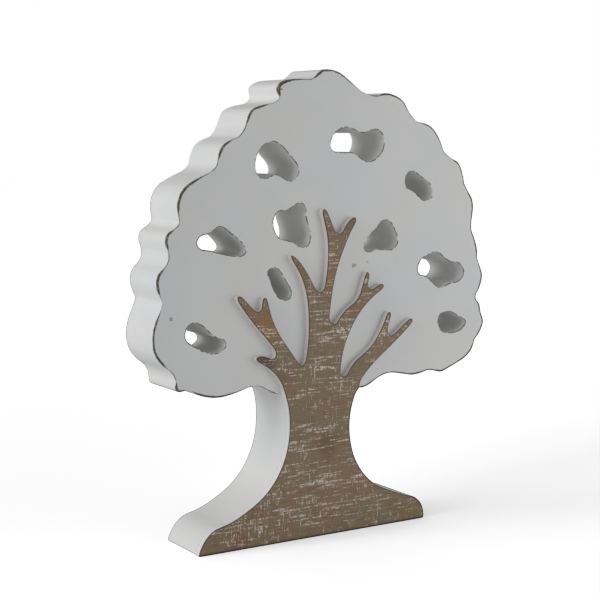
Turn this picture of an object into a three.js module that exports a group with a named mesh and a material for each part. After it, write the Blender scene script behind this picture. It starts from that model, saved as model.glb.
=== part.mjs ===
// Tree-of-life ornament: a thick board sawn to the outline of a tree, pierced by ten
// cut-outs, with a thin trunk-and-branches panel glued flat on its front.
// Millimetres. +Z up, front towards -Y, origin at the bottom centre of the whole object.

import * as THREE from 'three';

// Sizes that can be set by themselves.
const TRUNK_HEIGHT = 63.5;      // floor to where the crown springs from the trunk
const CROWN_HEIGHT = 136.5;     // from there to the top of the tree
const CROWN_WIDTH = 169.4;
const WAIST_WIDTH = 30.4;       // the trunk at its narrowest
const BASE_WIDTH = 115.6;       // the foot of the trunk, along the floor
const BOARD_THICKNESS = 25;
const PANEL_THICKNESS = 3;

const CURVE_STEP = 1.7;         // longest straight stretch in a curved edge

const BOARD_PAINT = 0xe9e8e4;
const PANEL_STAIN = 0x6f5f49;

// The saw pattern is drawn at the sizes below, as [x, z] from the middle of the floor line,
// and stretched to the sizes above. Board and panel share it, so they always line up.
const PATTERN = {
  trunkHeight: 63.5,
  waistHeight: 47,
  crownHeight: 136.5,
  crown: { width: 169.4, middle: -0.3 },
  waist: { width: 30.4, middle: -7.4 },
  base: { width: 115.6, middle: -9.1 },
};

// The trunk's two edges, which the board and the panel have in common.
const TRUNK_LEFT = [
  [-66.9, 0], [-65.8, 3], [-63, 7.2], [-59.5, 9.9], [-52, 12], [-45, 15], [-36, 20.6],
  [-30, 26.8], [-25.5, 34.8], [-23.2, 43], [-22.6, 51], [-23.2, 58], [-24.8, 63.8],
];
const TRUNK_RIGHT = [
  [13, 63.2], [11.2, 61.2], [9.4, 56.8], [8.1, 51], [7.8, 46], [8.3, 40.5], [10.2, 33.3],
  [14.2, 26.2], [20, 20.2], [28, 15.9], [38, 12], [43.5, 10.1], [47, 6.9], [48.5, 3], [48.7, 0],
];

// The crown's scalloped edge, from the trunk's left side round the top to its right side.
// Each row is one scallop and ends in the notch where the next one starts.
const SCALLOPS = [
  [[-24.8, 63.8], [-28, 63.9], [-33, 66.6], [-36.5, 68.1], [-41, 68]],
  [[-41, 68], [-48, 66], [-56, 65], [-64, 66.7], [-68.8, 69.3], [-71.6, 69.4]],
  [[-71.6, 69.4], [-73.6, 68.8], [-74.8, 70.3], [-74.9, 74], [-77, 77.6], [-80.7, 80.5],
    [-84, 85], [-85, 91], [-84, 97], [-81.5, 102.6], [-80.4, 106]],
  [[-80.4, 106], [-82.3, 110], [-83, 113.5], [-82, 117.5], [-79.5, 119.8], [-77.6, 122.5]],
  [[-77.6, 122.5], [-77.6, 126], [-78.9, 130], [-77.8, 133.5], [-74.5, 135.3], [-72.4, 137.5]],
  [[-72.4, 137.5], [-73.3, 143], [-72.5, 147.8], [-69.5, 152], [-64, 155.2], [-58, 157.8],
    [-55.4, 160]],
  [[-55.4, 160], [-54.5, 164], [-52.5, 168.2], [-49, 170.4], [-45, 171.7]],
  [[-45, 171.7], [-42.2, 175.3], [-40.7, 179.4], [-38.8, 182.7], [-34.5, 184.5], [-28.5, 185.6]],
  [[-28.5, 185.6], [-25.8, 187.2], [-25.5, 189.6], [-26.5, 191.9], [-24, 194.2], [-20, 195.5],
    [-10, 195.7]],
  [[-10, 195.7], [-7.2, 197.1], [-4.6, 199.6], [-1, 200], [4, 199], [9, 195.8], [15, 191.4],
    [20, 189.5], [24.8, 189.3]],
  [[24.8, 189.3], [28, 190.5], [33, 189.7], [38, 187], [41, 182.2], [45, 178.2]],
  [[45, 178.2], [51, 177.2], [55, 174.6], [58.4, 169.7], [60, 165.3]],
  [[60, 165.3], [64.5, 162], [68.6, 160.4], [71, 156], [71.8, 151]],
  [[71.8, 151], [74, 147.3], [76.7, 144], [77.5, 139.5], [76.4, 133], [76.5, 129]],
  [[76.5, 129], [78.5, 125.2], [80.2, 120.5], [79.9, 116.5]],
  [[79.9, 116.5], [81.5, 113.2], [83.4, 109], [82.2, 103.5], [79.4, 99.6]],
  [[79.4, 99.6], [79.8, 96.9], [82, 95.3], [82.4, 91.5]],
  [[82.4, 91.5], [84.4, 87.2], [82.8, 82.8], [79, 78.8]],
  [[79, 78.8], [78, 74.8], [74.5, 71.4], [68, 68.5], [62.6, 66.3]],
  [[62.6, 66.3], [60, 65.5], [56.5, 66.6], [52.5, 67.1]],
  [[52.5, 67.1], [45, 65.6], [38, 66.8], [31, 67.8], [25, 66.2], [20, 63.3], [16, 62.4],
    [13, 63.2]],
];

// The cut-outs between the clumps of leaves, each a closed curve through the board.
const CUTOUTS = [
  // below the top, a dumb-bell
  [[-0.4, 168.8], [1.4, 172.8], [5, 175.3], [9, 175.8], [13, 174.4], [16.7, 173.2],
    [20.5, 174.4], [24, 174.9], [27, 172.3], [27.6, 168.4], [26, 164.8], [22, 161.5],
    [17.8, 161.1], [14.5, 163], [11.5, 165.1], [4, 165.1], [0.4, 166.1]],
  // upper left, a bean
  [[-37.4, 159.3], [-36.6, 164], [-34, 167.9], [-29, 169.9], [-25, 168.5], [-20.5, 163.9],
    [-16.9, 160], [-16.2, 156.6], [-19.5, 153.4], [-24, 154.8], [-27.5, 156.6],
    [-31.5, 154.8], [-35.5, 155.2]],
  // upper right, a slanted bean
  [[39, 151.6], [40, 155.3], [43.5, 156.7], [47.3, 154.2], [51.6, 152], [54, 148.4],
    [54, 144.9], [51.4, 143.4], [48.3, 143.9], [45.7, 146.2], [43, 148.1], [39.8, 149.3]],
  // middle left, a boot
  [[-65, 129.3], [-63.4, 131.9], [-58.8, 132.9], [-54.3, 135.7], [-49.5, 132.9], [-44, 128.5],
    [-41.7, 125], [-43.5, 123.1], [-50, 123.6], [-58, 125.6], [-63.7, 126.8]],
  // above the second branch, a broad cross-grained patch
  [[-29, 135.5], [-28.3, 138.8], [-26, 141.1], [-21.5, 141.3], [-16, 144.2], [-13, 143],
    [-12.7, 138], [-10.4, 130.5], [-11.6, 125.9], [-15.3, 125.5], [-20, 128.1], [-26.2, 129.9]],
  // beside the second branch, a small slanted pill
  [[-31.8, 115.5], [-30.2, 117.5], [-26, 116.3], [-23.1, 111.9], [-19.8, 106.2],
    [-21.3, 103.5], [-25.4, 104.2], [-28.5, 107.5], [-30.2, 112.4]],
  // lower left, a slanted leaf
  [[-70.7, 91.2], [-69.4, 95.6], [-66, 96.9], [-61.8, 94.6], [-57.2, 90.3], [-53, 89.1],
    [-51.4, 86.5], [-54.5, 83.7], [-60.5, 84], [-66, 86.9], [-69.9, 89.4]],
  // above the fourth branch, a drumstick
  [[17, 124], [19.5, 128.3], [23.8, 132.2], [27, 135.3], [30.8, 135], [34.2, 129.8],
    [35.4, 125.8], [32.8, 122.6], [28.5, 122.5], [24, 123], [18.8, 122]],
  // right, the longest one
  [[46.2, 112.5], [47.8, 117], [52, 119.1], [57.5, 120.3], [61, 117.6], [64.5, 115.4],
    [69.5, 114.8], [72.6, 110.6], [70.3, 106.8], [64.5, 105.8], [59.5, 103.9], [55.3, 106],
    [51.5, 109.6], [47.6, 110.3]],
  // lower right, a squat leaf
  [[57.9, 89], [59.7, 92.2], [64.5, 92.8], [70, 90.4], [74.2, 87.8], [72, 84.7],
    [65.5, 82.9], [60, 84.5]],
];

// The panel's edge above the trunk. Each row runs from crotch to crotch round one branch.
const BRANCHES = [
  // the stub on the trunk's left shoulder
  [[-24.8, 63.8], [-26.2, 67.8], [-29.3, 72.4], [-33.5, 76.1], [-38.7, 79.3], [-39.1, 80.3],
    [-37.9, 81], [-34.5, 80.7], [-31.5, 79.4], [-29.7, 79.5]],
  // first branch, forked
  [[-29.7, 79.5], [-29.4, 82.2], [-33, 87], [-39.5, 94.2], [-44.5, 100.4], [-47.9, 105.6],
    [-47.6, 106.8], [-46.3, 106.8], [-42.5, 103.2], [-39.2, 100], [-37.9, 99.5], [-36.6, 100],
    [-36, 102.5], [-35.6, 105], [-34.7, 105.7], [-33.7, 105], [-32.7, 101.5], [-31, 96],
    [-27.5, 89.2], [-22.5, 82.3], [-17.7, 76.1], [-16.5, 75.2]],
  // second branch, a single curved twig
  [[-16.5, 75.2], [-15.1, 76.2], [-13.8, 81.5], [-13.1, 89], [-13.2, 98], [-14.3, 106],
    [-16.8, 113.3], [-21.8, 121.5], [-22.1, 122.5], [-21, 122.4], [-17.5, 119.4],
    [-13.5, 114.1], [-9.6, 107.6], [-8.4, 106.3], [-7, 105.9]],
  // third branch, the leader, forked
  [[-7, 105.9], [-5.6, 107], [-4.2, 112.5], [-3.3, 121], [-3.7, 129.5], [-5, 135.2],
    [-6.2, 140.2], [-5.8, 141.5], [-4.6, 141.3], [-2.3, 137.2], [-0.3, 132.9], [0.9, 131],
    [2.4, 130.5], [4, 131.4], [6, 134.5], [9.4, 137.4], [10.8, 137.5], [11.3, 136.3],
    [8, 130.7], [4.2, 123], [1.4, 116], [-0.6, 108.5], [-1.9, 101], [-2.5, 93.8],
    [-1.7, 92.8], [0.6, 91.7]],
  // fourth branch, forked
  [[0.6, 91.7], [3, 94.9], [6.5, 98.2], [10.6, 100.8], [12.8, 103.4], [14.4, 107.4],
    [16.2, 112.7], [17.2, 113.8], [18.1, 112.8], [17.9, 110.3], [17.2, 108.2], [18, 106.3],
    [19.4, 105.7], [23.3, 107.6], [25.3, 107.9], [26.1, 107.1], [25.5, 106], [20, 102.4],
    [15.5, 98.6], [10.8, 93], [7, 86.3], [4.6, 80], [3.5, 74.5], [3.2, 70.8], [3.8, 69.2],
    [5, 68.6]],
  // fifth branch, forked
  [[5, 68.6], [6.3, 69], [7.5, 70.8], [10.5, 74.6], [15, 77.6], [19.8, 81.3], [23.5, 86.2],
    [26.3, 91.3], [27.8, 94.5], [29, 95.6], [30, 94.4], [28.9, 91], [28, 87.3], [28.6, 85.3],
    [30.2, 84.7], [32, 85.6], [35.5, 88.2], [40, 91.4], [41.6, 91.6], [41.7, 90.3],
    [38, 86.7], [33.5, 83.1], [28.5, 79.3], [23, 75.3], [18.5, 71.5], [14.4, 67.1],
    [13.4, 65.4], [13, 63.2]],
];

const { lerp, smoothstep } = THREE.MathUtils;

// Widths are set at three levels, the floor, the waist and the crown, and blend between them.
function betweenLevels(z, base, waist, crown) {
  const belowWaist = lerp(base, waist, smoothstep(z, 0, PATTERN.waistHeight));
  return lerp(belowWaist, crown, smoothstep(z, PATTERN.waistHeight, PATTERN.trunkHeight));
}

function stretchAcross(x, z) {
  const scale = betweenLevels(
    z,
    BASE_WIDTH / PATTERN.base.width,
    WAIST_WIDTH / PATTERN.waist.width,
    CROWN_WIDTH / PATTERN.crown.width,
  );
  const middle = betweenLevels(
    z,
    PATTERN.base.middle,
    PATTERN.waist.middle,
    PATTERN.crown.middle,
  );
  return middle + (x - middle) * scale;
}

function stretchUp(z) {
  if (z <= PATTERN.trunkHeight) return z * TRUNK_HEIGHT / PATTERN.trunkHeight;
  const aboveTrunk = z - PATTERN.trunkHeight;
  return TRUNK_HEIGHT + aboveTrunk * CROWN_HEIGHT / PATTERN.crownHeight;
}

// Points along a smooth curve through a row of pattern points, with a closed row joined up.
// An open row leaves out its last point, because the next row starts there.
function smooth(row, closed = false) {
  const corners = row.map(([x, z]) => new THREE.Vector3(stretchAcross(x, z), stretchUp(z), 0));
  const curve = new THREE.CatmullRomCurve3(corners, closed, 'centripetal');
  const spans = closed ? corners.length : corners.length - 1;
  const points = [];
  for (let span = 0; span < spans; span += 1) {
    const next = corners[(span + 1) % corners.length];
    const steps = Math.ceil(corners[span].distanceTo(next) / CURVE_STEP);
    for (let step = 0; step < steps; step += 1) {
      const point = curve.getPoint((span + step / steps) / spans);
      points.push(new THREE.Vector2(point.x, point.y));
    }
  }
  return points;
}

// The whole outline of a piece: up the trunk's left edge, round the crown or the branches,
// down the trunk's right edge and back along the floor.
function treeOutline(rows) {
  const [x, z] = TRUNK_RIGHT.at(-1);
  const lastCorner = new THREE.Vector2(stretchAcross(x, z), stretchUp(z));
  return [
    ...smooth(TRUNK_LEFT),
    ...rows.flatMap((row) => smooth(row)),
    ...smooth(TRUNK_RIGHT),
    lastCorner,
  ];
}

// An outline drawn upright in X and Z, given its thickness towards the front.
function sawn(shape, thickness) {
  const geometry = new THREE.ExtrudeGeometry(shape, { depth: thickness, bevelEnabled: false });
  const upright = new THREE.Matrix4().set(
    1, 0, 0, 0,
    0, 0, -1, 0,
    0, 1, 0, 0,
    0, 0, 0, 1,
  );
  return geometry.applyMatrix4(upright);
}

function piece(name, geometry, color, roughness) {
  const material = new THREE.MeshStandardMaterial({ color, roughness, metalness: 0 });
  const mesh = new THREE.Mesh(geometry, material);
  mesh.name = name;
  return mesh;
}

// Holes are wound the other way round from the outline they are cut in.
function treeBoard() {
  const shape = new THREE.Shape(treeOutline(SCALLOPS));
  shape.holes = CUTOUTS.map((row) => new THREE.Path(smooth(row, true).reverse()));
  return piece('tree_board', sawn(shape, BOARD_THICKNESS), BOARD_PAINT, 0.6);
}

function trunkPanel() {
  const shape = new THREE.Shape(treeOutline(BRANCHES));
  return piece('trunk_panel', sawn(shape, PANEL_THICKNESS), PANEL_STAIN, 0.65);
}

// The board's back is at half the total depth behind the origin, and the panel lies on
// the board's front.
const board = treeBoard();
const panel = trunkPanel();
board.position.y = (BOARD_THICKNESS + PANEL_THICKNESS) / 2;
panel.position.y = board.position.y - BOARD_THICKNESS;

// The tree stands with the middle of its width over the origin.
const group = new THREE.Group();
group.add(board, panel);
const extent = new THREE.Box3().setFromObject(group);
group.position.x = -(extent.min.x + extent.max.x) / 2;

export default group;
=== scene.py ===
import math

import bmesh
import bpy
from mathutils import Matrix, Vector


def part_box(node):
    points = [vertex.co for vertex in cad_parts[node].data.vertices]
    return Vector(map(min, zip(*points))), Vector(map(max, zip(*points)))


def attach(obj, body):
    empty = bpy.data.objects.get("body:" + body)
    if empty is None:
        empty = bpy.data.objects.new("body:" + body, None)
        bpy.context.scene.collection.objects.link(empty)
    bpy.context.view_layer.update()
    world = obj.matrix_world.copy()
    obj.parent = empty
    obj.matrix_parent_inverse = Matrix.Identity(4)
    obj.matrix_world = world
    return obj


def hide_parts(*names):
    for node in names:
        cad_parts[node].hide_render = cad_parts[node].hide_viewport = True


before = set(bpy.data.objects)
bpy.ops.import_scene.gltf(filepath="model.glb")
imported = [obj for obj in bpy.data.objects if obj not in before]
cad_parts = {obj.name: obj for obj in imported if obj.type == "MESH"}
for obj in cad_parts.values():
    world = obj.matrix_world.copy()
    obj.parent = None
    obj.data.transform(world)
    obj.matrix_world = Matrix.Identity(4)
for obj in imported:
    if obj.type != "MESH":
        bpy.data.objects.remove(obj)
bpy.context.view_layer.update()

MM = 0.001

# ---------------------------------------------------------------- the saw lines
# Board and panel are both sawn upright out of flat sheet, so all of a piece's shape is in
# the lines the blade followed. They are read off the rims of its CAD node's front face.

WELD = 0.001 * MM       # points closer than this are one
ON_FACE = 0.01 * MM     # and this close to a face they lie on it


def front_rims(name):
    """Closed rows of (x, z) along the rims of a node's front face, wood on the left."""
    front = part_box(name)[0].y
    solid = bmesh.new()
    solid.from_mesh(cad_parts[name].data)
    bmesh.ops.remove_doubles(solid, verts=solid.verts, dist=WELD)
    follows = {}
    for face in solid.faces:
        if any(abs(corner.co.y - front) > ON_FACE for corner in face.verts):
            continue
        for loop in face.loops:
            beyond = loop.link_loop_radial_next.face
            if any(abs(corner.co.y - front) > ON_FACE for corner in beyond.verts):
                follows[loop.vert] = loop.link_loop_next.vert
    rims = []
    while follows:
        corner = min(follows, key=lambda vert: vert.index)
        rim = []
        while corner in follows:
            rim.append((corner.co.x, corner.co.z))
            corner = follows.pop(corner)
        rims.append(rim)
    solid.free()
    return sorted(rims, key=len, reverse=True)


def saw_line(name, rims, covered=()):
    """A curve object through the rims. A point's radius is 0 where another piece lies over
    the rim and shields it from the sandpaper."""
    drawing = bpy.data.curves.new(name, "CURVE")
    drawing.dimensions = "3D"
    for rim in rims:
        spline = drawing.splines.new("POLY")
        spline.points.add(len(rim) - 1)
        spline.use_cyclic_u = True
        for point, (x, z) in zip(spline.points, rim):
            point.co = (x, z, 0, 1)
            point.radius = 0 if (round(x, 5), round(z, 5)) in covered else 1
    line = bpy.data.objects.new(name, drawing)
    bpy.context.scene.collection.objects.link(line)
    return line


def add(tree, kind, inputs=(), **settings):
    """A node with its settings. Inputs go by order or by socket; a node or socket is linked."""
    node = tree.nodes.new(kind)
    for setting, value in settings.items():
        setattr(node, setting, value)
    pairs = inputs.items() if isinstance(inputs, dict) else enumerate(inputs)
    for socket, value in pairs:
        for each in value if isinstance(value, list) else [value]:
            if isinstance(each, bpy.types.Node):
                each = each.outputs[0]
            if isinstance(each, bpy.types.NodeSocket):
                tree.links.new(each, node.inputs[socket])
            else:
                node.inputs[socket].default_value = each
    return node


# ---------------------------------------------------------------- sawing and sanding
# Each piece is sawn square from its sheet and its rims are eased with sandpaper. The paper
# bites where the outline stands out and hardly touches the notches, so the rounding of the
# rim swells and dies away along it. The tree sweeps that section along the saw lines.

FACE_RINGS = 2      # rings of points on the flat beside the rounding
ARC_STEPS = 4       # steps round the rounding
WALL_RINGS = 2      # rings on the sawn wall beside the rounding
RINGS = 2 * (FACE_RINGS + ARC_STEPS + WALL_RINGS + 1)
PATCH = 9 * MM      # size of the patches in which the paper bit more or less
LEAST_BITE = 0.06   # share of the bite that even a notch got
SHIELDED = 0.3      # share of the rounding left where another piece shields the rim
ON_FLAT_MM = 2.0    # distance from the rim that the flat faces are given, past all wear

sawing = bpy.data.node_groups.new("sawn_and_sanded", "GeometryNodeTree")
sawing.is_modifier = True
for label, kind, value in (
    ("Saw line", "NodeSocketGeometry", None),
    ("Thickness", "NodeSocketFloat", 25 * MM),
    ("Front", "NodeSocketFloat", 0.0),
    ("Step", "NodeSocketFloat", 0.6 * MM),
    ("Easing", "NodeSocketInt", 3),
    ("Sharp rim", "NodeSocketFloat", 0.15 * MM),
    ("Rubbed rim", "NodeSocketFloat", 0.6 * MM),
    ("Back share", "NodeSocketFloat", 0.8),
    ("Flat beside rim", "NodeSocketFloat", 0.5 * MM),
    ("Wall beside rim", "NodeSocketFloat", 2.4 * MM),
    ("Reach of the block", "NodeSocketInt", 60),
    ("Stands out", "NodeSocketFloat", 0.55 * MM),
    ("Hangs back", "NodeSocketFloat", -0.25 * MM),
    ("Longest cut-out", "NodeSocketFloat", 0.2),
    ("Seed", "NodeSocketFloat", 4.0),
    ("Finish", "NodeSocketMaterial", None),
):
    socket = sawing.interface.new_socket(label, in_out="INPUT", socket_type=kind)
    if value is not None:
        socket.default_value = value
sawing.interface.new_socket("Piece", in_out="OUTPUT", socket_type="NodeSocketGeometry")
size = add(sawing, "NodeGroupInput").outputs

# The saw line in even steps, its corners eased.
place = add(sawing, "GeometryNodeInputPosition")
line = add(sawing, "GeometryNodeResampleCurve",
           {"Curve": size["Saw line"], "Length": size["Step"]}, mode="LENGTH")
line = add(sawing, "GeometryNodeSetPosition", {
    "Geometry": line,
    "Position": add(sawing, "GeometryNodeBlurAttribute",
                    {"Value": place, "Iterations": size["Easing"]}, data_type="FLOAT_VECTOR"),
})

# Into the wood is to the left of the line. A point stands out by how far it lies outside
# the line that a sanding block, bridging the notches, runs along.
into_wood = add(sawing, "GeometryNodeBlurAttribute", {
    "Value": add(sawing, "ShaderNodeVectorMath",
                 ((0, 0, 1), add(sawing, "GeometryNodeInputTangent")),
                 operation="CROSS_PRODUCT"),
    "Iterations": size["Easing"],
}, data_type="FLOAT_VECTOR")
block_line = add(sawing, "GeometryNodeBlurAttribute", {
    "Value": place, "Iterations": size["Reach of the block"],
}, data_type="FLOAT_VECTOR")
stands_out = add(sawing, "ShaderNodeVectorMath", (
    add(sawing, "ShaderNodeVectorMath", (block_line, place), operation="SUBTRACT"),
    into_wood,
), operation="DOT_PRODUCT").outputs["Value"]
patchy = add(sawing, "ShaderNodeTexNoise", {
    "Vector": place, "W": size["Seed"], "Scale": 1 / PATCH, "Detail": 1.0,
}, noise_dimensions="4D")
bite = add(sawing, "ShaderNodeMapRange", {
    "Value": stands_out, "From Min": size["Hangs back"], "From Max": size["Stands out"],
    "To Min": LEAST_BITE,
    "To Max": add(sawing, "ShaderNodeMapRange", (patchy, 0.3, 0.6, 0.55, 1.0)),
}, interpolation_type="SMOOTHSTEP")
open_rim = add(sawing, "GeometryNodeInputRadius")
rub = add(sawing, "ShaderNodeMath", (bite, open_rim), operation="MULTIPLY")
rounding = add(sawing, "ShaderNodeMath", (
    add(sawing, "ShaderNodeMapRange",
        {"Value": rub, "To Min": size["Sharp rim"], "To Max": size["Rubbed rim"]}),
    add(sawing, "ShaderNodeMapRange", {"Value": open_rim, "To Min": SHIELDED}),
), operation="MULTIPLY")
in_cutout = add(sawing, "ShaderNodeMath", (
    add(sawing, "GeometryNodeSplineLength"), size["Longest cut-out"],
), operation="LESS_THAN")
for label, kind, value in (
    ("rim_at", "FLOAT_VECTOR", place),
    ("into_wood", "FLOAT_VECTOR", into_wood),
    ("rounding", "FLOAT", rounding),
    ("rub", "FLOAT", rub),
    ("cutout", "FLOAT", in_cutout),
):
    line = add(sawing, "GeometryNodeStoreNamedAttribute",
               {"Geometry": line, "Name": label, "Value": value}, data_type=kind)

# The section is swept as a row of rings, numbered from the front face round the front rim,
# down the wall and round the back rim.
section = add(sawing, "GeometryNodeStoreNamedAttribute", {
    "Geometry": add(sawing, "GeometryNodeResampleCurve", {
        "Curve": add(sawing, "GeometryNodeCurvePrimitiveLine", {"End": (0, 0, -1)}),
        "Count": RINGS,
    }),
    "Name": "ring",
    "Value": add(sawing, "GeometryNodeInputIndex"),
}, data_type="FLOAT")
walls = add(sawing, "GeometryNodeCurveToMesh", {"Curve": line, "Profile Curve": section})

ring = add(sawing, "GeometryNodeInputNamedAttribute", {"Name": "ring"}, data_type="FLOAT")
mirrored = add(sawing, "ShaderNodeMath", (RINGS - 1.0, ring), operation="SUBTRACT")
from_face = add(sawing, "ShaderNodeMath", (ring, mirrored), operation="MINIMUM")
at_back = add(sawing, "ShaderNodeMath", (ring, mirrored), operation="GREATER_THAN")
radius = add(sawing, "ShaderNodeMath", (
    add(sawing, "GeometryNodeInputNamedAttribute", {"Name": "rounding"}, data_type="FLOAT"),
    add(sawing, "ShaderNodeMapRange", {"Value": at_back, "To Min": 1.0,
                                       "To Max": size["Back share"]}),
), operation="MULTIPLY")
arc_end = FACE_RINGS + ARC_STEPS
turn = add(sawing, "ShaderNodeMapRange",
           (from_face, FACE_RINGS, arc_end, 0.0, math.pi / 2))
flat = add(sawing, "ShaderNodeMapRange",
           {"Value": from_face, "From Min": FACE_RINGS, "From Max": 0.0,
            "To Max": size["Flat beside rim"]})
wall = add(sawing, "ShaderNodeMapRange",
           {"Value": from_face, "From Min": arc_end, "From Max": arc_end + WALL_RINGS,
            "To Max": size["Wall beside rim"]})
inset, depth = (
    add(sawing, "ShaderNodeMath", (
        add(sawing, "ShaderNodeMath", (
            1.0, add(sawing, "ShaderNodeMath", (turn,), operation=wave),
        ), operation="SUBTRACT"),
        radius, beside,
    ), operation="MULTIPLY_ADD")
    for wave, beside in (("SINE", flat), ("COSINE", wall))
)
below = add(sawing, "ShaderNodeMath", (
    add(sawing, "ShaderNodeMath", (size["Thickness"], at_back, 0.0), operation="MULTIPLY"),
    add(sawing, "ShaderNodeMath", (
        depth,
        add(sawing, "ShaderNodeMapRange", {"Value": at_back, "To Min": 1.0, "To Max": -1.0}),
    ), operation="MULTIPLY"),
), operation="ADD")
rim_at, inward = (
    add(sawing, "GeometryNodeInputNamedAttribute", {"Name": label}, data_type="FLOAT_VECTOR")
    for label in ("rim_at", "into_wood")
)
walls = add(sawing, "GeometryNodeSetPosition", {
    "Geometry": walls,
    "Position": add(sawing, "ShaderNodeVectorMath", {
        0: inward, 1: inset, 2: rim_at,
    }, operation="MULTIPLY_ADD"),
    "Offset": add(sawing, "ShaderNodeCombineXYZ", {
        "Z": add(sawing, "ShaderNodeMath", (below, -1.0), operation="MULTIPLY"),
    }),
})

# How far each point is from the crest of its rim, in millimetres, for the paint to wear by.
from_crest = add(sawing, "ShaderNodeMath", (
    add(sawing, "ShaderNodeMath", (
        add(sawing, "ShaderNodeMath", (turn, math.pi / 4), operation="SUBTRACT"),
    ), operation="ABSOLUTE"),
    radius,
    add(sawing, "ShaderNodeMath", (flat, wall), operation="ADD"),
), operation="MULTIPLY_ADD")
walls = add(sawing, "GeometryNodeStoreNamedAttribute", {
    "Geometry": walls, "Name": "from_rim",
    "Value": add(sawing, "ShaderNodeMath", (from_crest, 1 / MM), operation="MULTIPLY"),
}, data_type="FLOAT")

# The two flat faces fill the innermost rings.
faces = []
for share, drop in ((1.0, 0.0), (size["Back share"], size["Thickness"])):
    innermost = add(sawing, "ShaderNodeMath", (
        add(sawing, "GeometryNodeInputNamedAttribute", {"Name": "rounding"},
            data_type="FLOAT"),
        share, size["Flat beside rim"],
    ), operation="MULTIPLY_ADD")
    filled = add(sawing, "GeometryNodeFillCurve", {
        "Curve": add(sawing, "GeometryNodeSetPosition", {
            "Geometry": line,
            "Position": add(sawing, "ShaderNodeVectorMath", {
                0: inward, 1: innermost, 2: rim_at,
            }, operation="MULTIPLY_ADD"),
        }),
    }, mode="TRIANGLES")
    filled = add(sawing, "GeometryNodeStoreNamedAttribute",
                 {"Geometry": filled, "Name": "from_rim", "Value": ON_FLAT_MM},
                 data_type="FLOAT")
    faces.append(add(sawing, "GeometryNodeTransform", {
        "Geometry": filled,
        "Translation": add(sawing, "ShaderNodeCombineXYZ", {
            "Z": add(sawing, "ShaderNodeMath", (drop, -1.0), operation="MULTIPLY"),
        }),
    }))
piece = add(sawing, "GeometryNodeMergeByDistance", {
    "Geometry": add(sawing, "GeometryNodeJoinGeometry", {"Geometry": [walls, *faces]}),
    "Distance": 2 * WELD,
})
for label in ("rim_at", "into_wood", "rounding", "ring"):
    piece = add(sawing, "GeometryNodeRemoveAttribute", {"Geometry": piece, "Name": label})
piece = add(sawing, "GeometryNodeTransform", {
    "Geometry": add(sawing, "GeometryNodeSetShadeSmooth", {"Geometry": piece}),
    "Translation": add(sawing, "ShaderNodeCombineXYZ", {"Y": size["Front"]}),
    "Rotation": (math.radians(90), 0, 0),
})
piece = add(sawing, "GeometryNodeSetMaterial", {
    "Geometry": add(sawing, "GeometryNodeRealizeInstances", {"Geometry": piece}),
    "Material": size["Finish"],
})
add(sawing, "NodeGroupOutput", {"Piece": piece})


def saw_out(name, node, finish, covered=(), **sizes):
    """Sands the node's saw lines into a closed mesh of its own, in the node's place."""
    low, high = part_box(node)
    drawn = saw_line(name + "_line", front_rims(node), covered)
    modifier = drawn.modifiers.new("sawing", "NODES")
    modifier.node_group = sawing
    sizes = {"Thickness": high.y - low.y, "Front": low.y, "Finish": finish, **sizes}
    for socket in sawing.interface.items_tree:
        if socket.in_out == "INPUT" and socket.name in sizes:
            modifier[socket.identifier] = sizes[socket.name]
    graph = bpy.context.evaluated_depsgraph_get()
    mesh = bpy.data.meshes.new_from_object(
        drawn.evaluated_get(graph), preserve_all_data_layers=True, depsgraph=graph
    )
    bpy.data.objects.remove(drawn)
    solid = bmesh.new()
    solid.from_mesh(mesh)
    bmesh.ops.recalc_face_normals(solid, faces=solid.faces)
    solid.to_mesh(mesh)
    solid.free()
    mesh.name = name
    mesh.materials.clear()          # a mesh made from a curve comes without its finish
    mesh.materials.append(finish)
    sawn = bpy.data.objects.new(name, mesh)
    bpy.context.scene.collection.objects.link(sawn)
    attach(sawn, "root")
    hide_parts(node)
    return sawn


# ---------------------------------------------------------------- the tree board
# A slab of fibreboard, 25 mm thick, sawn to the outline of a tree with ten cut-outs between
# the clumps of leaves. It is painted off-white all over by brush, and then its rims are
# rubbed back to the dark undercoat wherever they stand out.


def linear(code):
    """An sRGB hex colour as the linear colour that nodes want."""
    parts = [int(code[i:i + 2], 16) / 255 for i in (1, 3, 5)]
    return (*(c / 12.92 if c <= 0.04045 else ((c + 0.055) / 1.055) ** 2.4 for c in parts), 1)


FIRST, SECOND, MIXED = 6, 7, 2      # the colour sockets of a Mix node

# Chalk paint on fibreboard, brushed: matt and even, with faint brush marks along the board,
# a tone that drifts slightly, rims rubbed through to a dark undercoat, and painted shade deep
# in the cut-outs.
PAINT = linear("#e8e8e7")
PAINT_COOL = linear("#e1e4e6")
PAINT_WARM = linear("#e7e6e2")
THIN_PAINT_AND_HOLE_SHADE = linear("#e3e3e1")       # pale grey of the brush marks, and painted shade half way through a cut-out
UNDERCOAT = linear("#46413b")
UNDERCOAT_RUBBED = linear("#70685c")
BARE_BOARD = linear("#a8997a")
SPECK = linear("#8d8b86")
DRIFT_MM, WARMTH_MM = 45.0, 22.0     # size of the drifts in tone
BRISTLE_MM, STROKE_MM = 0.7, 18.0    # spacing and length of the brush marks
NIBBLE_MM = 1.3                      # length of the nibbles that the sandpaper left
DASH_MM = 1.7                        # length of the worn dashes round a cut-out
STRETCH_MM = 7.0                     # length over which the wear comes and goes
CRUMB_MM = 0.8                       # size of the crumbs of bare board in the undercoat
RIPPLE_MM = 0.9                      # spacing of the blade's ripple on the walls
RUB_MM = 0.68                        # width of bare rim where it is rubbed hardest
HARDER_MM = 0.16                     # and how much wider it is on the tree's right
SPARED_MM = 0.8                      # taken off that width where the paper never came
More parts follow.
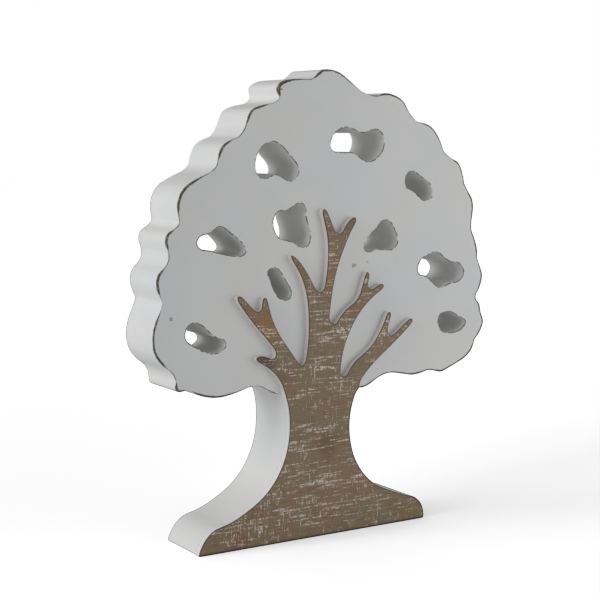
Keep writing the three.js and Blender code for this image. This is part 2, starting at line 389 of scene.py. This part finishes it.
# Knocked corners: across, up, reach along the rim, and how far the wall beside it is bare.
KNOCKS = ((-25.2, 191.0, 2.0, 3.0), (-22.5, 194.0, 3.0, 3.0), (-6.5, 198.4, 2.4, 1.5),
          (-2.0, 199.8, 2.6, 1.7), (2.5, 199.4, 2.4, 1.1), (-74.4, 69.8, 1.9, 1.9))
# Specks of dirt: across, up, reach.
SPECKS = ((11.9, 116.4, 0.9), (13.2, 116.6, 0.5), (19.4, 117.6, 0.5), (-76.6, 99.0, 0.8))

board_low, board_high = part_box("tree_board")
front_mm, thickness_mm = board_low.y / MM, (board_high.y - board_low.y) / MM

paint = bpy.data.materials.new("chalk_paint_rubbed_back_on_fibreboard")
paint.use_nodes = True
coat = paint.node_tree
coat.nodes.clear()
where = add(coat, "ShaderNodeVectorMath", {
    0: add(coat, "ShaderNodeTexCoord").outputs["Object"], "Scale": 1 / MM,
}, operation="SCALE")
across, deep, up = add(coat, "ShaderNodeSeparateXYZ", (where,)).outputs
from_rim, rubbed, cutout = (
    add(coat, "ShaderNodeAttribute", attribute_name=label).outputs["Fac"]
    for label in ("from_rim", "rub", "cutout")
)
drift = add(coat, "ShaderNodeTexNoise",
            {"Vector": where, "Scale": 1 / DRIFT_MM, "Detail": 2.0})
warmth = add(coat, "ShaderNodeTexNoise",
             {"Vector": where, "Scale": 1 / WARMTH_MM, "Detail": 3.0})
marks = add(coat, "ShaderNodeTexNoise", {
    "Vector": add(coat, "ShaderNodeVectorMath", (
        where, (1 / STROKE_MM, 1 / STROKE_MM, 1 / BRISTLE_MM),
    ), operation="MULTIPLY"),
    "Scale": 1.0, "Detail": 2.0,
})
colour = add(coat, "ShaderNodeMix", {
    0: add(coat, "ShaderNodeMapRange", (drift, 0.35, 0.65)), FIRST: PAINT, SECOND: PAINT_COOL,
}, data_type="RGBA").outputs[MIXED]
colour = add(coat, "ShaderNodeMix", {
    0: add(coat, "ShaderNodeMapRange", (warmth, 0.45, 0.7, 0.0, 0.8)),
    FIRST: colour, SECOND: PAINT_WARM,
}, data_type="RGBA").outputs[MIXED]
colour = add(coat, "ShaderNodeMix", {
    0: add(coat, "ShaderNodeMapRange", (marks, 0.35, 0.75, 0.0, 0.04)),
    FIRST: colour, SECOND: THIN_PAINT_AND_HOLE_SHADE,
}, data_type="RGBA").outputs[MIXED]

# Inside a cut-out the paint is greyed, most of all half way through: painted shade of the deep
# cut-out.
depth = add(coat, "ShaderNodeMapRange", (deep, front_mm, front_mm + thickness_mm))
mid_wall_shade = add(coat, "ShaderNodeMath", (
    add(coat, "ShaderNodeMapRange", (depth, 0.02, 0.3), interpolation_type="SMOOTHSTEP"),
    add(coat, "ShaderNodeMapRange", (depth, 0.98, 0.7), interpolation_type="SMOOTHSTEP"),
), operation="MULTIPLY")
colour = add(coat, "ShaderNodeMix", {
    0: add(coat, "ShaderNodeMath", (mid_wall_shade, cutout), operation="MULTIPLY"),
    FIRST: colour, SECOND: THIN_PAINT_AND_HOLE_SHADE,
}, data_type="RGBA").outputs[MIXED]

# The front rim is bare over a width that follows how hard it was rubbed, ragged along its
# edge and thinning out in the notches, and a little wider towards the right, where the paper
# was pressed harder. The back rim was hardly touched. Round the cut-outs folded paper only
# caught the rim here and there, in dashes.
nibble = add(coat, "ShaderNodeTexNoise",
             {"Vector": where, "Scale": 1 / NIBBLE_MM, "Detail": 3.0, "Roughness": 0.6})
dash = add(coat, "ShaderNodeTexNoise",
           {"Vector": where, "Scale": 1 / DASH_MM, "Detail": 1.0})
stretch = add(coat, "ShaderNodeTexNoise",
              {"Vector": where, "Scale": 1 / STRETCH_MM, "Detail": 1.0})
rubbed_width = add(coat, "ShaderNodeMath", (
    add(coat, "ShaderNodeMapRange", (rubbed, 0.06, 0.7, 0.17, RUB_MM)),
    add(coat, "ShaderNodeMapRange", (stretch, 0.38, 0.55, -0.14, 0.06)),
), operation="ADD")
rubbed_width = add(coat, "ShaderNodeMath", (
    rubbed_width, add(coat, "ShaderNodeMapRange", (across, -20.0, 40.0, 0.0, HARDER_MM)),
), operation="ADD")
dash_width = add(coat, "ShaderNodeMapRange", (dash, 0.36, 0.48, -0.1, 0.27))
bare_width = add(coat, "ShaderNodeMix", {0: cutout, 2: rubbed_width, 3: dash_width})
for spared in (
    add(coat, "ShaderNodeMapRange", (depth, 0.3, 0.7, 0.0, -SPARED_MM)),
    add(coat, "ShaderNodeMapRange", (rubbed, 0.05, 0.0, 0.0, -SPARED_MM)),  # under the panel
):
    bare_width = add(coat, "ShaderNodeMath", (bare_width, spared), operation="ADD")
for spot_x, spot_z, reach, wide in KNOCKS:
    away = add(coat, "ShaderNodeVectorMath", (
        where, (spot_x, front_mm, spot_z)), operation="DISTANCE").outputs["Value"]
    knocked = add(coat, "ShaderNodeMath", (
        add(coat, "ShaderNodeMapRange", (away, reach + 0.8, reach - 0.8, 0.0, wide)),
        add(coat, "ShaderNodeMapRange", (deep, front_mm + 0.1, front_mm + 0.5, 0.4, 1.0)),
    ), operation="MULTIPLY")
    bare_width = add(coat, "ShaderNodeMath", (bare_width, knocked), operation="MAXIMUM")
ragged = add(coat, "ShaderNodeMath", (
    add(coat, "ShaderNodeMapRange", (nibble, 0.3, 0.7, -0.5, 0.5)),
    add(coat, "ShaderNodeMapRange", (bare_width, 0.0, 1.5, 0.15, 1.0)),
), operation="MULTIPLY")
bare = add(coat, "ShaderNodeMapRange", {
    "Value": add(coat, "ShaderNodeMath", (
        add(coat, "ShaderNodeMath", (bare_width, ragged), operation="ADD"), from_rim,
    ), operation="SUBTRACT"),
    "From Min": -0.06, "From Max": 0.06,
})
undercoat = add(coat, "ShaderNodeMix", {
    0: add(coat, "ShaderNodeMapRange", (nibble, 0.45, 0.62)),
    FIRST: UNDERCOAT, SECOND: UNDERCOAT_RUBBED,
}, data_type="RGBA").outputs[MIXED]
undercoat = add(coat, "ShaderNodeMix", {
    0: add(coat, "ShaderNodeMapRange", (
        add(coat, "ShaderNodeTexNoise", {"Vector": where, "Scale": 1 / CRUMB_MM}), 0.58, 0.64)),
    FIRST: undercoat, SECOND: BARE_BOARD,
}, data_type="RGBA").outputs[MIXED]
colour = add(coat, "ShaderNodeMix", {0: bare, FIRST: colour, SECOND: undercoat},
             data_type="RGBA").outputs[MIXED]

# A few specks of dirt under the paint.
for spot_x, spot_z, reach in SPECKS:
    away = add(coat, "ShaderNodeVectorMath", (
        where, (spot_x, front_mm, spot_z)), operation="DISTANCE").outputs["Value"]
    colour = add(coat, "ShaderNodeMix", {
        0: add(coat, "ShaderNodeMapRange", {
            "Value": add(coat, "ShaderNodeMath", (away, nibble), operation="ADD"),
            "From Min": reach + 0.7, "From Max": reach + 0.2, "To Max": 0.75,
        }),
        FIRST: colour, SECOND: SPECK,
    }, data_type="RGBA").outputs[MIXED]

# On the sawn walls the blade's ripple shows through, straight across the thickness.
ripple = add(coat, "ShaderNodeTexNoise", {
    "Vector": add(coat, "ShaderNodeVectorMath", (where, (1.0, 0.05, 1.0)),
                  operation="MULTIPLY"),
    "Scale": 1 / RIPPLE_MM, "Detail": 2.0,
})
relief = add(coat, "ShaderNodeBump", {
    "Height": marks, "Distance": 0.006 * MM, "Strength": 0.4,
    "Normal": add(coat, "ShaderNodeBump", {
        "Height": ripple, "Distance": 0.01 * MM, "Strength": 0.5,
        "Normal": add(coat, "ShaderNodeBump",
                      {"Height": bare, "Distance": 0.08 * MM, "Strength": 0.6},
                      invert=True),
    }),
})
shader = add(coat, "ShaderNodeBsdfPrincipled", {
    "Base Color": colour,
    "Roughness": add(coat, "ShaderNodeMapRange", (bare, 0.0, 1.0, 0.58, 0.75)),
    "IOR": 1.5,
    "Normal": relief,
})
add(coat, "ShaderNodeOutputMaterial", {"Surface": shader})

covered = {(round(x, 5), round(z, 5)) for rim in front_rims("trunk_panel") for x, z in rim}
board = saw_out("painted_tree_board", "tree_board", paint, covered=covered)

# ---------------------------------------------------------------- the trunk panel
# A 3 mm panel sawn to the trunk and its branches and glued flat on the board's front. Its
# face is stained brown and dry-brushed with white over coarse linen, its cut edges white.

# Wood stain under dry-brushed paint: a brown that drifts between olive and red, darker
# along the rims, with pale paint only on the high threads of the linen pressed into it.
STAIN = linear("#957b60")
STAIN_OLIVE = linear("#8b7d60")
STAIN_RED = linear("#8b6e57")
STAIN_DARK = linear("#6d5b46")
PALE = linear("#e9dfd4")
BURNT_RIM = linear("#3d342b")
# a darker copy of the board's paint: painted shade on the panel's cut edges on the crown
SHADED_EDGE_PAINT = linear("#dedad6")
# painted shade: the grey line in the corner at the foot of the panel's cut edges
FOOT_SHADE_GREY = linear("#8b8783")
# Where the stain took a colour of its own: hex, place across and up, reach, strength.
TINTS = (
    ("#a27c49", (-33.5, 92.0), 9.0, 0.9),
    ("#9b7550", (-42.0, 100.0), 7.0, 0.7),
    ("#644a46", (-35.5, 78.5), 7.5, 1.0),
    ("#8a6a5a", (-25.0, 72.0), 6.0, 0.6),
    ("#957250", (-18.0, 114.0), 10.0, 0.7),
    ("#947a58", (-4.5, 136.0), 8.0, 0.6),
    ("#8d6c55", (7.5, 134.0), 6.0, 0.7),
    ("#8f7357", (10.0, 99.0), 9.0, 0.6),
    ("#97805a", (22.0, 86.0), 12.0, 0.6),
    ("#8f7a55", (38.0, 6.0), 12.0, 0.7),
    ("#8a5f4c", (-47.0, 3.0), 7.0, 0.8),
    ("#8d6647", (-40.0, 14.0), 6.0, 0.6),
    ("#6f5c46", (-3.0, 40.0), 8.0, 0.7),
    ("#8a7a66", (-14.0, 52.0), 9.0, 0.5),
)
# Where the dry brush was pressed harder: height, reach above and below, strength.
BANDS = ((89.0, 6.0, 1.0), (26.0, 8.0, 1.0), (11.0, 5.0, 1.0), (44.0, 8.0, 0.9),
         (104.0, 5.0, 0.7), (122.0, 9.0, 0.8), (66.0, 6.0, 0.85), (76.0, 4.0, 0.6))
SPRING_MM = 63.5                     # height where the crown springs from the trunk
THREAD_MM = 0.55                     # spacing of the linen's threads
# A patch of linen pressed in both ways: its middle across and up, its inner and outer reach.
LINEN_AT, LINEN_MM = (-38.0, 12.0), (12.0, 26.0)
# How many millimetres wide, deep and tall the grains of each pattern are, and its detail.
GRAINS = {
    "olive_clouds": (17.0, 17.0, 14.0, 2.0),
    "tint_edges": (5.0, 5.0, 4.0, 2.0),
    "red_clouds": (7.0, 7.0, 6.0, 2.0),
    "dark_streaks": (6.0, 6.0, 0.9, 2.0),
    "lines_along": (7.0, 7.0, 0.5, 2.0),
    "lines_up": (0.5, 7.0, 5.0, 2.0),
    "brushed_patches": (9.0, 9.0, 5.0, 2.0),
    "brush_skips": (12.0, 12.0, 2.5, 2.0),
    "hatched_patches": (8.0, 8.0, 10.0, 2.0),
    "rows": (10.0, 10.0, 0.62, 2.0),
    "columns": (0.6, 0.6, 5.0, 2.0),
    "threads": (THREAD_MM, THREAD_MM, 2 * THREAD_MM, 1.0),
    "cross_threads": (2 * THREAD_MM, THREAD_MM, THREAD_MM, 1.0),
    "uneven_rim": (1.6, 1.6, 1.6, 2.0),
}

panel_low, panel_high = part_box("trunk_panel")
face_mm, foot_mm = panel_low.y / MM, panel_high.y / MM

stain = bpy.data.materials.new("brown_stain_dry_brushed_over_linen_on_fibreboard")
stain.use_nodes = True
wood = stain.node_tree
wood.nodes.clear()
where = add(wood, "ShaderNodeVectorMath", {
    0: add(wood, "ShaderNodeTexCoord").outputs["Object"], "Scale": 1 / MM,
}, operation="SCALE")
_, deep, up = add(wood, "ShaderNodeSeparateXYZ", (where,)).outputs
from_rim = add(wood, "ShaderNodeAttribute", attribute_name="from_rim").outputs["Fac"]

grain = {}
for pattern, (wide, thick, tall, detail) in GRAINS.items():
    grain[pattern] = add(wood, "ShaderNodeTexNoise", {
        "Vector": add(wood, "ShaderNodeVectorMath", (where, (1 / wide, 1 / thick, 1 / tall)),
                      operation="MULTIPLY"),
        "Scale": 1.0, "Detail": detail,
    })

colour = add(wood, "ShaderNodeMix", {
    0: add(wood, "ShaderNodeMapRange", (grain["olive_clouds"], 0.4, 0.62)),
    FIRST: STAIN, SECOND: STAIN_OLIVE,
}, data_type="RGBA").outputs[MIXED]
for tint, (spot_x, spot_z), reach, strength in TINTS:
    away = add(wood, "ShaderNodeVectorMath", (
        where, (spot_x, face_mm, spot_z)), operation="DISTANCE").outputs["Value"]
    colour = add(wood, "ShaderNodeMix", {
        0: add(wood, "ShaderNodeMapRange", {
            "Value": add(wood, "ShaderNodeMath", (
                grain["tint_edges"], reach, away), operation="MULTIPLY_ADD"),
            "From Min": 1.5 * reach, "From Max": 0.9 * reach, "To Max": strength,
        }, interpolation_type="SMOOTHSTEP"),
        FIRST: colour, SECOND: linear(tint),
    }, data_type="RGBA").outputs[MIXED]
colour = add(wood, "ShaderNodeMix", {
    0: add(wood, "ShaderNodeMapRange", (grain["red_clouds"], 0.5, 0.72, 0.0, 0.7)),
    FIRST: colour, SECOND: STAIN_RED,
}, data_type="RGBA").outputs[MIXED]
colour = add(wood, "ShaderNodeMix", {
    0: add(wood, "ShaderNodeMapRange", (grain["dark_streaks"], 0.5, 0.75, 0.0, 0.3)),
    FIRST: colour, SECOND: STAIN_DARK,
}, data_type="RGBA").outputs[MIXED]

# The weave shows as fine dark lines too, between the threads.
for pattern, strength in (("lines_along", 0.55), ("lines_up", 0.35)):
    colour = add(wood, "ShaderNodeMix", {
        0: add(wood, "ShaderNodeMapRange", (grain[pattern], 0.54, 0.68, 0.0, strength)),
        FIRST: colour, SECOND: STAIN_DARK,
    }, data_type="RGBA").outputs[MIXED]

# Dry-brushed paint in rows and, fewer, in columns, broken into dashes by the threads.
pressed = add(wood, "ShaderNodeMapRange", (grain["brushed_patches"], 0.4, 0.62, 0.0, 0.75))
for height, reach, strength in BANDS:
    off = add(wood, "ShaderNodeMath", (
        add(wood, "ShaderNodeMath", (up, height), operation="SUBTRACT"),
    ), operation="ABSOLUTE")
    pressed = add(wood, "ShaderNodeMath", (pressed, add(wood, "ShaderNodeMapRange", (
        off, reach * 1.2, reach * 0.5, 0.0, strength,
    ), interpolation_type="SMOOTHSTEP")), operation="MAXIMUM")
pressed = add(wood, "ShaderNodeMath", (pressed, add(wood, "ShaderNodeMapRange", (
    grain["brush_skips"], 0.35, 0.6, 0.35, 1.0,
))), operation="MULTIPLY")
both_ways = add(wood, "ShaderNodeMapRange", {
    "Value": add(wood, "ShaderNodeVectorMath", (where, (LINEN_AT[0], face_mm, LINEN_AT[1])),
                 operation="DISTANCE").outputs["Value"],
    "From Min": LINEN_MM[1], "From Max": LINEN_MM[0],
}, interpolation_type="SMOOTHSTEP")
rows = add(wood, "ShaderNodeMapRange", {
    "Value": grain["rows"],
    "From Min": add(wood, "ShaderNodeMapRange", (pressed, 0.0, 1.0, 0.66, 0.51)),
    "From Max": add(wood, "ShaderNodeMapRange", (pressed, 0.0, 1.0, 0.71, 0.565)),
})
threads = add(wood, "ShaderNodeMapRange", (grain["threads"], 0.42, 0.55))
hatched = add(wood, "ShaderNodeMath", (both_ways, add(wood, "ShaderNodeMapRange", (
    grain["hatched_patches"], 0.45, 0.65, 0.1, 0.8,
))), operation="MAXIMUM")
columns = add(wood, "ShaderNodeMapRange", {
    "Value": grain["columns"],
    "From Min": add(wood, "ShaderNodeMapRange", (hatched, 0.0, 1.0, 0.69, 0.56)),
    "From Max": add(wood, "ShaderNodeMapRange", (hatched, 0.0, 1.0, 0.73, 0.61)),
})
cross_threads = add(wood, "ShaderNodeMapRange", (grain["cross_threads"], 0.44, 0.58))
pale = add(wood, "ShaderNodeMath", (
    add(wood, "ShaderNodeMath", (rows, threads), operation="MULTIPLY"),
    add(wood, "ShaderNodeMath", (columns, cross_threads), operation="MULTIPLY"),
), operation="MAXIMUM")
colour = add(wood, "ShaderNodeMix", {
    0: add(wood, "ShaderNodeMath", (pale, 0.85), operation="MULTIPLY"),
    FIRST: colour, SECOND: PALE,
}, data_type="RGBA").outputs[MIXED]

# The stain gathered dark along the rim and where the panel stands on the floor.
burnt = add(wood, "ShaderNodeMath", (
    add(wood, "ShaderNodeMapRange", {
        "Value": add(wood, "ShaderNodeMath", (grain["uneven_rim"], from_rim),
                     operation="SUBTRACT"),
        "From Min": -0.35, "From Max": 0.05, "To Max": 0.9,
    }),
    add(wood, "ShaderNodeMapRange", (up, 1.0, 0.4, 0.0, 0.85)),
), operation="MAXIMUM")
colour = add(wood, "ShaderNodeMix", {0: burnt, FIRST: colour, SECOND: BURNT_RIM},
             data_type="RGBA").outputs[MIXED]

# The cut edges are painted with the board, on the crown in a darker copy of its paint as
# painted shade. There a grey line of painted shade lies at their foot, in the corner with the
# board; along the trunk they are filled flush with the board's edge.
on_edge = add(wood, "ShaderNodeMapRange", (deep, face_mm + 0.1, face_mm + 0.25))
on_crown = add(wood, "ShaderNodeMapRange", (up, SPRING_MM, SPRING_MM + 3.0))
# On the crown the cut edges take the darker copy of the paint, as painted shade.
edge_paint_and_shade = add(wood, "ShaderNodeMix", {0: on_crown, FIRST: PAINT, SECOND: SHADED_EDGE_PAINT},
                  data_type="RGBA").outputs[MIXED]
# Painted shade: a grey line at the foot of the cut edges where they stand on the crown.
edge_paint_and_shade = add(wood, "ShaderNodeMix", {
    0: add(wood, "ShaderNodeMath", (
        add(wood, "ShaderNodeMapRange", (deep, foot_mm - 0.45, foot_mm - 0.1, 0.0, 0.22)),
        on_crown,
    ), operation="MULTIPLY"),
    FIRST: edge_paint_and_shade, SECOND: FOOT_SHADE_GREY,
}, data_type="RGBA").outputs[MIXED]
colour = add(wood, "ShaderNodeMix", {0: on_edge, FIRST: colour, SECOND: edge_paint_and_shade},
             data_type="RGBA").outputs[MIXED]
relief = add(wood, "ShaderNodeBump", {
    "Height": threads, "Distance": 0.03 * MM, "Strength": 0.5,
    "Normal": add(wood, "ShaderNodeBump", {
        "Height": pale, "Distance": 0.06 * MM, "Strength": 0.6,
        "Normal": add(wood, "ShaderNodeBump", {
            "Height": cross_threads, "Distance": 0.03 * MM, "Strength": 0.5}),
    }),
})
shader = add(wood, "ShaderNodeBsdfPrincipled", {
    "Base Color": colour,
    "Roughness": add(wood, "ShaderNodeMapRange", (pale, 0.0, 1.0, 0.6, 0.78)),
    "IOR": 1.5,
    "Normal": relief,
})
add(wood, "ShaderNodeOutputMaterial", {"Surface": shader})

THIN_SHEET = {"Easing": 1, "Rubbed rim": 0.3 * MM, "Back share": 0.15,
              "Flat beside rim": 0.3 * MM, "Wall beside rim": 0.6 * MM}
panel = saw_out("stained_trunk_panel", "trunk_panel", stain, **THIN_SHEET)

# ---------------------------------------------------------------- floor and studio
# White paper under the tree, and round it a white studio: a large softbox far off on the
# left, level with the board, a small weak one in front on the right, and less light from
# overhead than from the sides. The camera sees a white background.
HALF_FLOOR = 4.0
SIDE_LIGHT, TOP_LIGHT = 0.39, 0.25
# Place, width and watts of each softbox.
SOFTBOXES = {
    "softbox_left": ((-2.4, 0.12, 1.1), 1.8, 34.5),
    "softbox_right": ((0.24, -0.3, 0.15), 0.3, 0.3),
}
MIDDLE_OF_TREE = Vector((0, 0, 0.1))
CAMERA_AT = (-0.3378, -0.5225, 0.1737)
CAMERA_AIM = Vector((-0.0083, 0.0002, 0.1015))
SENSOR_MM, LENS_MM = 36.0, 86.2

floor_mesh = bpy.data.meshes.new("floor")
floor_mesh.from_pydata(
    [(-HALF_FLOOR, -HALF_FLOOR, 0), (HALF_FLOOR, -HALF_FLOOR, 0),
     (HALF_FLOOR, HALF_FLOOR, 0), (-HALF_FLOOR, HALF_FLOOR, 0)],
    [], [(0, 1, 2, 3)])
floor = bpy.data.objects.new("floor", floor_mesh)
bpy.context.scene.collection.objects.link(floor)
floor.is_shadow_catcher = True
card = bpy.data.materials.new("white_paper")
card.use_nodes = True
card.node_tree.nodes.clear()
add(card.node_tree, "ShaderNodeOutputMaterial", {
    "Surface": add(card.node_tree, "ShaderNodeBsdfDiffuse", {"Color": linear("#ececec")}),
})
floor_mesh.materials.append(card)

world = bpy.data.worlds.new("white_studio")
bpy.context.scene.world = world
world.use_nodes = True
sky = world.node_tree
sky.nodes.clear()
toward = add(sky, "ShaderNodeSeparateXYZ",
             (add(sky, "ShaderNodeTexCoord").outputs["Generated"],)).outputs
add(sky, "ShaderNodeOutputWorld", {
    "Surface": add(sky, "ShaderNodeBackground", {
        "Color": (1, 1, 1, 1),
        "Strength": add(sky, "ShaderNodeMapRange", {
            "Value": add(sky, "ShaderNodeLightPath").outputs["Is Camera Ray"],
            "To Min": add(sky, "ShaderNodeMapRange", (
                toward["Z"], 0.0, 1.0, SIDE_LIGHT, TOP_LIGHT,
            )),
            "To Max": 1.0,
        }),
    }),
})
for name, (at, width, watts) in SOFTBOXES.items():
    lamp = bpy.data.objects.new(name, bpy.data.lights.new(name, "AREA"))
    lamp.data.shape, lamp.data.size, lamp.data.energy = "SQUARE", width, watts
    lamp.location = at
    lamp.rotation_euler = (MIDDLE_OF_TREE - lamp.location).to_track_quat("-Z", "Y").to_euler()
    bpy.context.scene.collection.objects.link(lamp)

camera = bpy.data.objects.new("camera", bpy.data.cameras.new("camera"))
camera.data.sensor_width, camera.data.lens = SENSOR_MM, LENS_MM
camera.location = CAMERA_AT
camera.rotation_euler = (CAMERA_AIM - camera.location).to_track_quat("-Z", "Y").to_euler()
camera.data.clip_start, camera.data.clip_end = 0.01, 20.0
bpy.context.scene.collection.objects.link(camera)
bpy.context.scene.camera = camera
bpy.context.scene.view_settings.view_transform = "Standard"
